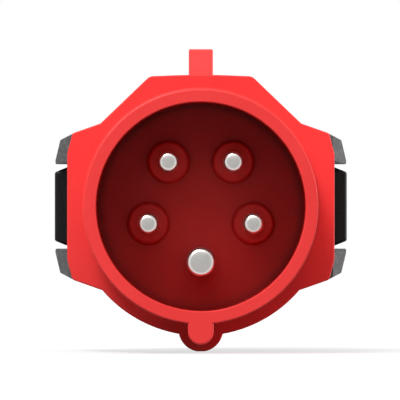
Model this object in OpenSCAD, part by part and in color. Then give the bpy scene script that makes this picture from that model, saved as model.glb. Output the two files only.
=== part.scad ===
// Industrial pin and sleeve plug: five-pole, straight, with a quick-release handle.
//
// Frame: the contact axis is Y. The sleeve's rim lies at y = 0 with its mouth towards -Y, the
// cable leaves towards +Y, and +Z points at the retaining lug (the key is underneath, at -Z).
// Every size is in millimetres. Mating pieces share the same named values and clearances.

/* [Sleeve] */
// Outside diameter of the sleeve that enters the connector
sleeve_d = 57; // [55:0.5:60]
// Wall thickness of the sleeve
sleeve_wall = 3; // [2.6:0.1:3.4]
// Length of the sleeve in front of the flange
sleeve_len = 45; // [40:1:50]
// Depth of the contact floor below the rim
cavity_depth = 42; // [38:1:43]
// Chamfer on the sleeve's rim
rim_edge = 0.4; // [0.2:0.1:0.8]
// Width of the polarising key
key_w = 6.2; // [5:0.2:7]
// Height of the polarising key above the sleeve's skin
key_h = 5.05; // [4:0.05:5.4]

/* [Flange and lug] */
// Step from the sleeve's skin out to the flange
flange_step = 3.26; // [2.4:0.02:3.4]
// Length of the flange block along the axis
flange_len = 23; // [22:1:26]
// Rounding of the two upper corners of the flange
corner_r = 2.4; // [2:0.2:6]
// Rise of the crowned top flat over its width
crown = 0.36; // [0.2:0.02:0.6]
// Width of the retaining lug
lug_w = 5.94; // [4:0.02:8]
// Height of the retaining lug above the flange's top
lug_h = 6.7; // [4:0.05:7]
// Radius of the bottom nub
nub_r = 5.5; // [4.4:0.1:6]
// Length of the bottom nub along the axis
nub_len = 6; // [4:0.5:8]

/* [Contacts] */
// Diameter of the circle through the five contacts
pin_circle_d = 27; // [26:0.5:28]
// Diameter of a line or neutral pin
line_d = 5; // [4.6:0.1:5.4]
// Diameter of the earth pin
earth_d = 7; // [6.6:0.1:7.4]
// Recess of the line and neutral tips behind the rim
line_recess = 7; // [5:0.5:10]
// Recess of the earth tip behind the rim
earth_recess = 3.5; // [2:0.5:5]
// Height of the collar moulded round each line and neutral pin
boss_h = 1.5; // [0.8:0.1:2.5]
// Diameter of the terminal barrel of a line or neutral pin
barrel_d = 8; // [7.4:0.2:8.4]
// Step from a pin out to the collar that guides it in the carrier
collar_step = 0.3; // [0.3:0.05:0.5]
// Bore for the conductor in a terminal barrel
wire_d = 4; // [3:0.1:4.4]
// Thread diameter of a terminal screw
screw_d = 3; // [2.4:0.1:3.2]

/* [Handle] */
// Wall thickness of the handle
handle_wall = 2.5; // [2:0.1:3]
// Height of the finger ribs on the top and underside of the handle
rib_h = 0.5; // [0.3:0.1:0.8]
// Length of the handle from the flange to the gland shoulder
handle_len = 46; // [44:1:52]
// Radius of the handle where it meets the gland
waist_r = 22.2; // [21.6:0.1:23]
// Height of the side grips, measured from the side face of the handle
grip_h = 3.5; // [2:0.1:4]

/* [Release buttons] */
// Length of a button along the axis
button_len = 19.4; // [16:0.2:20]
// Height of a button at its foot
button_h = 19.6; // [16:0.2:20]
// How far a button stands out of the side face of the handle
button_out = 3.7; // [3:0.1:4]
// How far a button can be pressed in
button_travel = 3; // [2:0.1:3]
// Wire diameter of a button spring
spring_wire = 0.7; // [0.5:0.05:0.8]
// Working turns of a button spring
spring_turns = 4; // [3:0.5:5]

/* [Cable gland] */
// Thread diameter of the gland neck
neck_d = 40; // [39:0.5:40.5]
// Pitch of the gland thread
neck_pitch = 2; // [1.5:0.5:2.5]
// Width across the flats of the gland nut
nut_af = 48; // [47:0.5:50]
// Bore of the rubber seal, the largest cable that enters freely
cable_d = 15; // [12:0.5:16]
// Number of clamping fingers
claw_fingers = 8; // [6:1:10]

/* [Fits] */
// Gap between pieces that slide into each other and stay there
seat_gap = 0.3; // [0.2:0.05:0.4]
// Radial play of a pin's collar in the contact carrier
pin_play = 0.15; // [0.1:0.05:0.25]
// Radial play of the nut on the gland neck
nut_play = 0.05; // [0.02:0.01:0.1]
// Play of a button in its window, on each side
button_play = 0.3; // [0.2:0.05:0.4]

/* [Hidden] */
$fn = 96;
eps = 0.01;

// ---- sleeve and flange ----
sleeve_r = sleeve_d / 2;
bore_r = sleeve_r - sleeve_wall;
flange_r = sleeve_r + flange_step;
top_z = flange_r + 0.28;           // height of the rounded corners beside the top flat
crown_z = top_z - 0.05;            // edges of the crowned flat, just inside those corners
facet_a = 46.2;                    // slope of the two upper facets
facet_r = flange_r + 0.05;         // their distance from the axis, just clear of the round
facet_x = flange_r - 4;            // they end inside the cheeks
cheek_x = flange_r + 1.08;         // side face of the flange
cheek_z = [20.5, 18, 13];          // heights of a cheek's corners, from the body outwards
cheek_in = 1.33;                   // step between its two outer corners
flange_y = sleeve_len;
back_y = flange_y + flange_len;    // rear face of the flange
seat_y = cavity_depth + 5;         // ledge that the contact carrier sits on
seat_r = bore_r + 1.1;
carrier_end = seat_y + 15;
vent_w = 2;                        // vent grooves round the flange's rear edge
vent_d = 0.6;
vent_y = flange_y + flange_len - 14;
vent_len = 11;
nub_z = 1.6 - flange_r;
foot_z = nub_z - nub_r + 0.08;     // flat foot of the nub

// ---- skirt inside the handle ----
skirt_r = sleeve_r - 0.4;
skirt_end = back_y + 17;
seal_y = back_y + 1.4;
seal_w = 2.6;
seal_d = 0.8;

// ---- contacts ----
pin_ring_r = pin_circle_d / 2;
line_r = line_d / 2;
earth_r = earth_d / 2;
barrel_r = barrel_d / 2;
earth_barrel_r = barrel_r + 0.8;
boss_y = cavity_depth - boss_h;    // top of the collars round the pins
boss_wall = 1.9;                   // from a pin's skin to the edge of its collar's top
boss_foot = 2.35;                  // and to the edge of the collar's foot
shoulder_y = seat_y + 3;           // where a pin's barrel bears on the carrier
barrel_end = carrier_end + 12;
screw_y = barrel_end - 5;
screw_head_r = screw_d / 2 + 0.8;
screw_head_h = 1.5;
ANGLE = [342, 54, 126, 198, 270];  // line 1, line 2, line 3, neutral, earth

// ---- snap ring that holds the carrier ----
frame_t = 4;
frame_end = carrier_end + frame_t;
frame_in_r = pin_ring_r + barrel_r + screw_head_h + 1.5;
bead_h = 0.5;
plate_x = frame_in_r;              // inner face of the spring plates
plate_t = 2;
plate_h = button_h - 1.6;          // height of the spring plates and the finger grooves
plate_reach = 8;                   // how far a plate reaches past a spring's axis

// ---- handle ----
handle_y = back_y + seat_gap;
handle_r = flange_r - 0.45;
side_x = cheek_x - 0.4;            // side face of the handle
waist_y = back_y + handle_len;
curve_y = back_y + 16;             // the body starts to narrow here
ribs = 5;                          // finger ribs on top, and as many underneath
rib_pitch = 4;
rib_w = 1.4;
cavity_r = skirt_r + seat_gap;

// ---- buttons ----
button_y = back_y + 17;            // centre of a button
window_y0 = button_y - button_len / 2 - button_play;
window_y1 = button_y + button_len / 2 + button_play;
fade_y = window_y1;                // the side faces and grips start to fade here
side_z = [for (rise = [8.3, 6.6, 1.6]) button_h / 2 + rise];  // corners of a grip, outwards
slots = 3;                         // finger grooves behind a button
slot_y = window_y1 + 2.4;
slot_w = 1.1;
slot_h = plate_h;
button_lip = 1.3;                  // how far a button's flange reaches past its block
pocket_y = button_y - button_len / 2 - button_lip - 0.6;
flange_t = 1.5;                    // flange that keeps a button in its window
side_in_x = side_x - 3;            // inner face of the side wall
pocket_z = button_h / 2 + 2.4;
spring_r = 3.3;
spring_pocket_r = spring_r + spring_wire / 2 + 0.5;
spring_pocket = 4;                 // depth of the spring pocket in a button
button_back_x = side_in_x - flange_t;
spring_x0 = plate_x + plate_t;
spring_x1 = button_back_x + spring_pocket;

// ---- cable gland ----
neck_r = neck_d / 2;
neck_end = waist_y + 15;
ledge_y = waist_y + 1.5;           // the seal's seat
neck_bore_r = neck_r - 3.7;
wire_way_r = neck_bore_r - 3;      // way from the wiring space to the seal
thread_y = waist_y + 2.4;          // first thread groove
thread_len = 11;
thread_d = 0.6;
seal_end = ledge_y + 10.5;
claw_base = 2;
finger_len = 8;
claw_end = seal_end + claw_base + finger_len;
washer_t = 1.5;
nut_y = waist_y + 1;
nut_bore_end = neck_end + 2;
nut_end = claw_end + washer_t + 5.5;
cable_r = cable_d / 2;
exit_r = cable_r + 2;
flare = 2;                         // depth of the flare at the cable's exit
groove_r = 0.9;                    // grip grooves of the nut
groove_pitch = 5;
groove_y0 = nut_y + 5;
groove_y1 = nut_end - 9;
washer_r = neck_bore_r + 1.2;

// ================= helpers =================

// Extrudes a front view (x to the right, y up) from y0 to y1 along the axis.
module along_y(y0, y1)
    translate([0, y1, 0]) rotate([90, 0, 0]) linear_extrude(y1 - y0) children();

// Extrudes a side view (x along the axis, y up) over a width centred on x = 0.
module across_x(w)
    translate([-w / 2, 0, 0]) rotate([90, 0, 90]) linear_extrude(w) children();

// Turns a [radius, distance from the rim] profile about the axis.
module turned(points)
    rotate([-90, 0, 0]) rotate_extrude() polygon(points);

// A plain shaft or bore about the axis.
module round_y(r, y0, y1)
    translate([0, y0, 0]) rotate([-90, 0, 0]) cylinder(h = y1 - y0, r = r);

// Puts its children at contact i.
module at_contact(i)
    translate([pin_ring_r * cos(ANGLE[i]), 0, pin_ring_r * sin(ANGLE[i])]) children();

// Repeats its children on the other side of the plug.
module both_sides()
    for (m = [0, 1]) mirror([m, 0, 0]) children();

// ================= front housing =================

// Flange seen from the front: round below, two facets and a crowned flat above.
module flange_outline() {
    cz = top_z - corner_r;
    cx = (facet_r - corner_r - cz * sin(facet_a)) / cos(facet_a);
    knee = [cx, cz] + corner_r * [cos(facet_a), sin(facet_a)];
    facet_z = (facet_r - facet_x * cos(facet_a)) / sin(facet_a);
    crown_r = (cx * cx + crown * crown) / (2 * crown);
    circle(flange_r);
    for (m = [0, 1]) mirror([m, 0]) {
        translate([cx, cz]) circle(corner_r);
        polygon([[0, 0], [facet_x, 0], [facet_x, facet_z], knee, [cx, cz], [0, cz]]);
    }
    intersection() {
        translate([0, crown_z + crown - crown_r]) circle(crown_r);
        translate([-cx, 0]) square([2 * cx, crown_z + crown]);
    }
}

// The two side cheeks seen from the front.
module cheek_outline(inset = 0) {
    x = cheek_x - inset;
    in_x = 0.769 * flange_r;
    z = [cheek_z[0] - inset, cheek_z[1] - inset, cheek_z[2] - inset / 2];
    for (m = [0, 1]) mirror([m, 0])
        polygon([[0, z[0]], [in_x, z[0]], [x - cheek_in, z[1]], [x, z[2]], [x, -z[2]],
                 [x - cheek_in, -z[1]], [in_x, -z[0]], [0, -z[0]]]);
}

// Key under the sleeve, seen from the front.
module key_outline() {
    z = -(sleeve_r + key_h - key_w / 2);
    translate([0, z]) circle(key_w / 2);
    translate([-key_w / 2, z]) square([key_w, -z - bore_r - 1]);
}

// Nub under the flange: a short round with a small foot to stand on.
module nub()
    intersection() {
        translate([0, 0, nub_z]) round_y(nub_r, flange_y, flange_y + nub_len);
        translate([-nub_r, flange_y, foot_z])
            cube([2 * nub_r, nub_len, 2 * nub_r]);
    }

// Retaining lug on top: a ramp for the lid of the connector and a steep catch behind it.
module lug()
    across_x(lug_w)
        polygon([[flange_y + 0.4, top_z - 2], [flange_y + 0.4, top_z],
                 [flange_y + 8, top_z + lug_h - 0.3], [flange_y + 9, top_z + lug_h],
                 [flange_y + 14, top_z + lug_h], [flange_y + 15, top_z + lug_h - 1],
                 [flange_y + 14.4, top_z + 0.8], [flange_y + 17, top_z - 0.2],
                 [flange_y + 17, top_z - 2]]);

module front_housing()
    color([0.80, 0.06, 0.05])
    difference() {
        union() {
            turned([[0, 0], [sleeve_r - rim_edge, 0], [sleeve_r, rim_edge],
                    [sleeve_r, flange_y + 1], [0, flange_y + 1]]);
            along_y(0, flange_y + 1) key_outline();
            along_y(flange_y, back_y) flange_outline();
            along_y(flange_y, back_y) cheek_outline();
            nub();
            lug();
            round_y(skirt_r, back_y - 1, skirt_end);
        }
        // contact cavity, open rim
        turned([[0, -1], [bore_r + rim_edge, -1], [bore_r + rim_edge, 0], [bore_r, rim_edge],
                [bore_r, seat_y + eps], [0, seat_y + eps]]);
        // seat for the carrier and the snap ring, with the groove for its bead
        turned([[0, seat_y], [seat_r, seat_y], [seat_r, carrier_end + 0.8],
                [seat_r + bead_h + 0.1, carrier_end + 1.4], [seat_r + bead_h + 0.1, carrier_end + 2.6],
                [seat_r, carrier_end + 3.2], [seat_r, skirt_end + 1],
                [0, skirt_end + 1]]);
        // groove for the body seal
        difference() {
            round_y(skirt_r + 1, seal_y, seal_y + seal_w);
            round_y(skirt_r - seal_d, seal_y - 1, seal_y + seal_w + 1);
        }
        // the skirt is open beside the buttons
        translate([-cheek_x, pocket_y, -pocket_z - seat_gap])
            cube([2 * cheek_x, skirt_end - pocket_y + 1, 2 * (pocket_z + seat_gap)]);
        // vent grooves round the flange's rear edge
        for (a = [-140, -115, -65, -40]) rotate([0, -a, 0])
            translate([flange_r - vent_d, vent_y, -vent_w / 2]) cube([vent_w, vent_len, vent_w]);
    }

// ================= contacts =================

module contact_carrier()
    color([0.62, 0.05, 0.04])
    difference() {
        union() {
            turned([[0, cavity_depth], [bore_r - seat_gap, cavity_depth],
                    [bore_r - seat_gap, seat_y], [seat_r - seat_gap, seat_y],
                    [seat_r - seat_gap, carrier_end], [0, carrier_end]]);
            for (i = [0:3]) at_contact(i)
                turned([[0, boss_y], [line_r + boss_wall, boss_y],
                        [line_r + boss_foot, cavity_depth + eps], [0, cavity_depth + eps]]);
        }
        for (i = [0:3]) at_contact(i) {
            round_y(line_r + collar_step + pin_play, boss_y - 1, shoulder_y + eps);
            round_y(barrel_r + seat_gap, shoulder_y, carrier_end + 1);
        }
        at_contact(4) {
            round_y(earth_r + collar_step + pin_play, cavity_depth - 1, shoulder_y + eps);
            round_y(earth_barrel_r + seat_gap, shoulder_y, carrier_end + 1);
        }
        // core that keeps the wall even behind the floor
        round_y(6, shoulder_y, carrier_end + 1);
    }

// A turned contact: rounded tip, collar and a drilled terminal barrel with its screw hole.
// Its contact surface ends just in front of base_y; the collar behind it fills the carrier's
// hole, which is wide enough to push the contact through from behind.
module contact_pin(i, r, tip_y, base_y, big_r)
    color([0.78, 0.77, 0.72])
    at_contact(i)
    difference() {
        turned([[0, tip_y], [r - 1.0, tip_y], [r - 0.45, tip_y + 0.25], [r - 0.1, tip_y + 0.75],
                [r, tip_y + 1.4], [r, base_y - 0.1], [r + collar_step, base_y],
                [r + collar_step, shoulder_y],
                [big_r, shoulder_y], [big_r, barrel_end - 0.4], [big_r - 0.4, barrel_end],
                [0, barrel_end]]);
        round_y(wire_d / 2, carrier_end - 1, barrel_end + 1);
        rotate([0, -ANGLE[i], 0]) translate([0, screw_y, 0])
            rotate([0, 90, 0]) cylinder(h = big_r + 1, r = screw_d / 2);
    }

module pin_line_1() contact_pin(0, line_r, line_recess, boss_y, barrel_r);
module pin_line_2() contact_pin(1, line_r, line_recess, boss_y, barrel_r);
module pin_line_3() contact_pin(2, line_r, line_recess, boss_y, barrel_r);
module pin_neutral() contact_pin(3, line_r, line_recess, boss_y, barrel_r);
module pin_earth() contact_pin(4, earth_r, earth_recess, cavity_depth, earth_barrel_r);

// A slotted terminal screw, driven from outside towards the barrel's bore.
module terminal_screw(i, big_r)
    color([0.70, 0.70, 0.68])
    at_contact(i)
    rotate([0, -ANGLE[i], 0]) translate([0, screw_y, 0]) rotate([0, 90, 0])
    difference() {
        union() {
            translate([0, 0, wire_d / 2 - 0.6])
                cylinder(h = big_r - wire_d / 2 + 1, r = screw_d / 2 - 0.05);
            translate([0, 0, big_r + 0.05]) cylinder(h = screw_head_h, r = screw_head_r);
        }
        translate([-screw_head_r - 1, -0.4, big_r + screw_head_h - 0.7])
            cube([2 * screw_head_r + 2, 0.8, 2]);
    }

module screw_line_1() terminal_screw(0, barrel_r);
module screw_line_2() terminal_screw(1, barrel_r);
module screw_line_3() terminal_screw(2, barrel_r);
module screw_neutral() terminal_screw(3, barrel_r);
module screw_earth() terminal_screw(4, earth_barrel_r);

// Snap ring behind the carrier, with the two plates that the button springs push against.
module latch_frame()
    color([0.13, 0.13, 0.14])
    difference() {
        union() {
            turned([[frame_in_r, carrier_end], [seat_r - seat_gap, carrier_end],
                    [seat_r - seat_gap, carrier_end + 1.0],
                    [seat_r + bead_h - 0.2, carrier_end + 1.6],
                    [seat_r + bead_h - 0.2, carrier_end + 2.4],
                    [seat_r - seat_gap, carrier_end + 3.0],
                    [seat_r - seat_gap, frame_end], [frame_in_r, frame_end]]);
            both_sides() {
                translate([plate_x, carrier_end + 1, -plate_h / 2])
                    cube([plate_t, button_y + plate_reach - carrier_end - 1, plate_h]);
                translate([spring_x0 - eps, button_y, 0]) rotate([0, 90, 0])
                    cylinder(h = 2.4, r = spring_r - spring_wire / 2 - 0.5);
            }
        }
        // notches that let the ring close while it snaps in
        for (a = [60, 120, 240, 300]) rotate([0, -a, 0])
            translate([frame_in_r - 1, carrier_end + 1.2, -0.8]) cube([8, frame_t, 1.6]);
    }

module body_seal()
    color([0.07, 0.07, 0.07])
    turned([[skirt_r - seal_d + 0.1, seal_y + 0.1], [skirt_r + 0.1, seal_y + 0.1],
            [skirt_r + 0.25, seal_y + seal_w / 2], [skirt_r + 0.1, seal_y + seal_w - 0.1],
            [skirt_r - seal_d + 0.1, seal_y + seal_w - 0.1]]);

// ================= handle =================

// Radius of the handle at a share t of the way from the grip to the waist.
function neck_curve(t) = waist_r + (handle_r - waist_r) * (1 + cos(180 * t)) / 2;
// Points of that curve moved inwards by d.
function curve_points(d) =
    [for (i = [0:12]) [neck_curve(i / 12) - d, curve_y + (waist_y - curve_y) * i / 12]];

// Side grips seen from the front: a rib above and below each button.
module grip_outline()
    for (mx = [0, 1], mz = [0, 1]) mirror([mx, 0]) mirror([0, mz]) polygon([
        [side_x - 6, side_z[0] + 0.7], [side_x - 0.95, side_z[0]],
        [side_x + grip_h - 1.2, side_z[1]], [side_x + grip_h, side_z[2]],
        [side_x + grip_h, side_z[2] - 1], [side_x + 0.4, side_z[2] - 0.15],
        [side_x, side_z[2]], [side_x - 6, side_z[2]]]);

// Envelope that brings the side faces and grips down to the waist in one smooth curve.
module grip_envelope() {
    out = norm([side_x + grip_h, side_z[1]]) + 0.5;
    in = waist_r - 1;
    turned(concat([[0, handle_y], [out - 2, handle_y], [out, handle_y + 2]],
                  [for (i = [0:14]) [in + (out - in) * (1 + cos(180 * i / 14)) / 2,
                                     fade_y + (waist_y - fade_y) * i / 14]],
                  [[0, waist_y]]));
}

// Low ribs over the top and underside, where the hand closes.
module finger_ribs()
    for (m = [0, 1], k = [0:ribs - 1]) {
        y = curve_y + 2 + rib_pitch * k;
        r = neck_curve((y - curve_y) / (waist_y - curve_y));
        half = 26 - 1.2 * k;
        mirror([0, 0, m]) rotate([-90, 0, 0]) rotate([0, 0, -90 - half])
            rotate_extrude(angle = 2 * half)
                polygon([[r - 2.5, y], [r + rib_h - 0.3, y], [r + rib_h, y + 0.3],
                         [r + rib_h, y + rib_w - 0.3], [r + rib_h - 0.3, y + rib_w],
                         [r - 2.5, y + rib_w]]);
    }

module handle_body()
    union() {
        turned(concat([[0, handle_y], [handle_r - 0.5, handle_y], [handle_r, handle_y + 0.8]],
                      curve_points(0), [[0, waist_y]]));
        intersection() {
            along_y(handle_y, waist_y) { cheek_outline(0.4); grip_outline(); }
            grip_envelope();
        }
        finger_ribs();
        // gland neck with its thread grooves
        turned(concat([[0, waist_y - 1], [neck_r, waist_y - 1], [neck_r, thread_y]],
            [for (k = [0:floor(thread_len / neck_pitch) - 1], p = [0:3])
                let (y = thread_y + k * neck_pitch)
                [neck_r - (p == 1 || p == 2 ? thread_d : 0),
                 y + neck_pitch * [0.1, 0.4, 0.5, 0.8][p]]],
            [[neck_r, neck_end - 1.2], [neck_r - 0.8, neck_end], [0, neck_end]]));
    }

module handle_shell()
    color([0.30, 0.31, 0.32])
    difference() {
        handle_body();
        // wiring space
        turned(concat([[0, handle_y - 1], [cavity_r, handle_y - 1]],
                      curve_points(handle_wall), [[0, waist_y]]));
        // seat of the seal, open to the wiring space
        round_y(wire_way_r, waist_y - 1, neck_end + 1);
        round_y(neck_bore_r, ledge_y, neck_end + 1);
        both_sides() {
            // window for the button
            along_y(window_y0, window_y1)
                translate([side_in_x - 4, -button_h / 2 - button_play])
                    square([12, button_h + 2 * button_play]);
            // pocket for the button's flange
            translate([plate_x + plate_t + 1, pocket_y, -pocket_z])
                cube([side_in_x - plate_x - plate_t - 1, 2 * (button_y - pocket_y), 2 * pocket_z]);
        }
        // finger grooves behind the buttons
        both_sides() for (k = [0:slots - 1])
            translate([side_x - 0.6, slot_y + 2 * slot_w * k, -slot_h / 2])
                cube([grip_h, slot_w, slot_h]);
    }

// ================= release buttons =================

// Right-hand button: a block with grip grooves, and a flange inside the handle.
module button_right_shape() {
    x0 = side_in_x;
    x1 = side_x + button_out;
    h = button_h / 2;
    difference() {
        union() {
            along_y(button_y - button_len / 2, button_y + button_len / 2)
                polygon([[x0 - 0.5, -h], [side_x + 0.4, -h], [x1 - 0.9, -h + 0.9], [x1, -h + 1.7],
                         [x1, h - 1.7], [x1 - 0.9, h - 0.9], [side_x + 0.4, h], [x0 - 0.5, h]]);
            translate([button_back_x, button_y - button_len / 2 - button_lip, -h - button_lip])
                cube([flange_t, button_len + 2 * button_lip, 2 * (h + button_lip)]);
        }
        translate([button_back_x - 1, button_y, 0]) rotate([0, 90, 0])
            cylinder(h = spring_pocket + 1, r = spring_pocket_r);
        // grip grooves
        for (k = [-2:2]) translate([x1 - 0.6, button_y + 3 * k - 0.6, -h + 2.6])
            cube([2, 1.2, 2 * h - 5.2]);
        // chamfers at the front and rear end of the block
        for (m = [0, 1]) translate([0, button_y, 0]) mirror([0, m, 0])
            translate([x1, -button_len / 2, 0]) rotate([0, 0, 45]) cube([1.4, 1.4, 4 * h], center = true);
    }
}

module release_button_right() color([0.10, 0.10, 0.105]) button_right_shape();
module release_button_left() color([0.10, 0.10, 0.105]) mirror([1, 0, 0]) button_right_shape();

// Helical compression spring along +X: a round wire swept through its turns, ends closed.
SWEEP_N = 18;  // steps in a turn
WIRE_N = 8;    // sides of the wire
module helix_spring(x0, x1) {
    dead = 0.75;                                  // closed turn at each end
    total = spring_turns + 2 * dead;
    len = x1 - x0 - spring_wire;
    lead = (len - 2 * dead * spring_wire) / spring_turns;
    n = ceil(total * SWEEP_N);
    // distance along the axis after u turns
    function rise(u) = u < dead ? u * spring_wire
        : u > total - dead ? len - (total - u) * spring_wire
        : dead * spring_wire + (u - dead) * lead;
    points = [for (i = [0:n], j = [0:WIRE_N - 1])
        let (u = total * i / n, a = 360 * u, b = 360 * (j + 0.5) / WIRE_N,
             w = spring_wire / 2, r = spring_r + w * cos(b))
        [x0 + w + rise(u) + w * sin(b), r * cos(a), r * sin(a)]];
    sides = [for (i = [0:n - 1], j = [0:WIRE_N - 1]) let (k = (j + 1) % WIRE_N)
        [i * WIRE_N + j, i * WIRE_N + k, (i + 1) * WIRE_N + k, (i + 1) * WIRE_N + j]];
    caps = [[for (j = [WIRE_N - 1:-1:0]) j], [for (j = [0:WIRE_N - 1]) n * WIRE_N + j]];
    translate([0, button_y, 0]) polyhedron(points, concat(sides, caps), convexity = 8);
}

module button_spring_right() color([0.75, 0.76, 0.78]) helix_spring(spring_x0 + 0.05, spring_x1 - 0.05);
module button_spring_left() color([0.75, 0.76, 0.78]) mirror([1, 0, 0])
    helix_spring(spring_x0 + 0.05, spring_x1 - 0.05);

// ================= cable gland =================

module gland_seal()
    color([0.06, 0.06, 0.065])
    turned([[cable_r, ledge_y], [neck_bore_r - 0.8, ledge_y], [neck_bore_r - 0.2, ledge_y + 0.8],
            [neck_bore_r - 0.2, seal_end], [cable_r, seal_end]]);

// Clamping cage: a ring with fingers that close on the cable when the nut goes home.
module gland_claw()
    color([0.16, 0.16, 0.17])
    difference() {
        turned([[cable_r + 1.5, seal_end], [neck_bore_r - 0.2, seal_end],
                [neck_bore_r - 0.2, seal_end + claw_base + 1],
                [neck_bore_r - 1.4, claw_end - 1.5], [neck_bore_r - 2.4, claw_end],
                [cable_r + 1, claw_end], [cable_r + 1, seal_end + claw_base + 2]]);
        for (k = [0:claw_fingers - 1]) rotate([0, 360 * k / claw_fingers, 0])
            translate([cable_r - 1, seal_end + claw_base, -0.9])
                cube([neck_r, finger_len + 1, 1.8]);
    }

module gland_washer()
    color([0.55, 0.55, 0.55])
    turned([[exit_r, claw_end], [washer_r, claw_end], [washer_r, claw_end + washer_t],
            [exit_r, claw_end + washer_t]]);

module gland_nut()
    color([0.20, 0.205, 0.21])
    difference() {
        intersection() {
            rotate([-90, 0, 0]) translate([0, 0, nut_y])
                cylinder(h = nut_end - nut_y, r = nut_af / 2 / cos(30), $fn = 6);
            turned([[0, nut_y], [nut_af / 2 + 0.6, nut_y], [nut_af / 2 + 2.6, nut_y + 2],
                    [nut_af / 2 + 2.6, nut_end - 7], [nut_af / 2 - 1.5, nut_end - 2.5],
                    [nut_af / 2 - 5, nut_end], [0, nut_end]]);
        }
        // thread space, room for the washer, flared cable exit
        round_y(neck_r + nut_play, nut_y - 1, nut_bore_end);
        turned([[0, nut_bore_end - 1], [neck_r - 1, nut_bore_end - 1], [washer_r + seat_gap, claw_end - 1],
                [washer_r + seat_gap, claw_end + washer_t], [exit_r, claw_end + washer_t],
                [exit_r, nut_end - flare], [exit_r + 1.5, nut_end + eps], [0, nut_end + eps]]);
        // grip grooves on the six faces
        for (a = [0:60:300], s = [-1, 0, 1]) rotate([0, a, 0])
            translate([s * groove_pitch, 0, -nut_af / 2]) round_y(groove_r, groove_y0, groove_y1);
    }

front_housing();
contact_carrier();
pin_line_1();
pin_line_2();
pin_line_3();
pin_neutral();
pin_earth();
screw_line_1();
screw_line_2();
screw_line_3();
screw_neutral();
screw_earth();
latch_frame();
body_seal();
handle_shell();
release_button_left();
release_button_right();
button_spring_left();
button_spring_right();
gland_seal();
gland_claw();
gland_washer();
gland_nut();
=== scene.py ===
"""Industrial pin and sleeve plug: the dressed model round its CAD frame.

Sizes inside the classes are in millimetres, as on a drawing, and become metres when a piece
is placed. The contact axis is Y: the sleeve's rim lies at y = 0 and the cable leaves at +Y.
"""

import logging
import math
from dataclasses import dataclass
from enum import Enum
from typing import Callable, Iterable, Sequence

import bmesh
import bpy
from mathutils import Matrix, Vector


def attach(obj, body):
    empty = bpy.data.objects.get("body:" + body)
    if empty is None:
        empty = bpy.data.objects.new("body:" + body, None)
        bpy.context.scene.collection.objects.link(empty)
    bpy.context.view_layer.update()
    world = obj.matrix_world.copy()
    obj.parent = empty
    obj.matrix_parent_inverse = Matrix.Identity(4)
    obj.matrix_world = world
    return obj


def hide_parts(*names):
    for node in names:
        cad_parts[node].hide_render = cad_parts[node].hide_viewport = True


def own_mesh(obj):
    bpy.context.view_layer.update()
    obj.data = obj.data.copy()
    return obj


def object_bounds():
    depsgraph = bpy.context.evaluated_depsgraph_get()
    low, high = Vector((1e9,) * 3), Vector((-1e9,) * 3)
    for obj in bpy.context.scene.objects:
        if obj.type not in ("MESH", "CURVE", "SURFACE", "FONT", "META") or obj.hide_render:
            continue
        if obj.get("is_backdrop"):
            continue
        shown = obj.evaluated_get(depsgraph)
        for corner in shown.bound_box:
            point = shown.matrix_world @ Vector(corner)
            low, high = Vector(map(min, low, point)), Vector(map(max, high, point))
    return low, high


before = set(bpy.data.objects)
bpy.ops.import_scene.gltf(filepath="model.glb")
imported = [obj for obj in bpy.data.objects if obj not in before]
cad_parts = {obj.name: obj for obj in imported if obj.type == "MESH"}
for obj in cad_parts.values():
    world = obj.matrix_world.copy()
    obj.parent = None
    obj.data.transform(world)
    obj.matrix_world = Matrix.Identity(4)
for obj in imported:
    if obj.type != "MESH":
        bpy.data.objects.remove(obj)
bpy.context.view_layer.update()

LOG = logging.getLogger("plug")
MM = 0.001
TAU = 2 * math.pi
ON_AXIS = 1e-6
CREASE = math.radians(32)
# Width of the rounded edges that get rubbed wear and, on the button, a painted highlight.
EDGE_WEAR_AND_SHEEN = 0.0005
WHITE = (1.0, 1.0, 1.0)
SWAP_XY = Matrix(((0, 1, 0, 0), (1, 0, 0, 0), (0, 0, 1, 0), (0, 0, 0, 1)))
SWAP_YZ = Matrix(((1, 0, 0, 0), (0, 0, 1, 0), (0, 1, 0, 0), (0, 0, 0, 1)))

Point = tuple[float, float]
Colour = tuple[float, float, float]
Socket = bpy.types.NodeSocket


class Side(Enum):
    """Side of the plug, as seen into its sleeve."""

    LEFT = -1
    RIGHT = 1


class Cut(Enum):
    """Ways to combine two closed forms."""

    JOIN = "UNION"
    TAKE_AWAY = "DIFFERENCE"
    KEEP_COMMON = "INTERSECT"


# ---------------- plane figures ----------------


def spread(first: float, last: float, steps: int) -> list[float]:
    """Evenly spaced values from first to last, both included."""
    return [first + (last - first) * k / steps for k in range(steps + 1)]


def quarter(steps: int) -> list[Point]:
    """A rounded edge of radius 1: (1 - cos a, 1 - sin a) for a from 0 to 90 degrees."""
    return [(1 - math.cos(a), 1 - math.sin(a)) for a in spread(0, math.pi / 2, steps)]


def rounded(points: Sequence[Point], radii: Sequence[float] | float, steps: int = 6) -> list[Point]:
    """Rounds the corners of a closed polygon with arcs.

    Args:
        points: The polygon's corners in order.
        radii: One radius for every corner, or one radius for all of them.
        steps: Straight steps in each arc.

    Returns:
        The corners of the rounded polygon.
    """
    n = len(points)
    each = [radii] * n if isinstance(radii, (int, float)) else radii
    out: list[Point] = []
    for i, (corner, r) in enumerate(zip(points, each)):
        here = Vector(corner)
        a, b = Vector(points[i - 1]) - here, Vector(points[(i + 1) % n]) - here
        turn = a.angle(b)
        if r < 1e-6 or turn > math.pi - 1e-3:
            out.append(corner)
            continue
        reach = min(r / math.tan(turn / 2), 0.49 * a.length, 0.49 * b.length)
        a, b = a.normalized(), b.normalized()
        middle = here + (a + b).normalized() * (reach / math.cos(turn / 2))
        start, end = here + a * reach - middle, here + b * reach - middle
        sweep = start.angle_signed(end)
        for share in spread(0, 1, steps):
            spoke = start.copy()
            spoke.rotate(Matrix.Rotation(-sweep * share, 2))
            out.append(tuple(middle + spoke))
    return out


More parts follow.
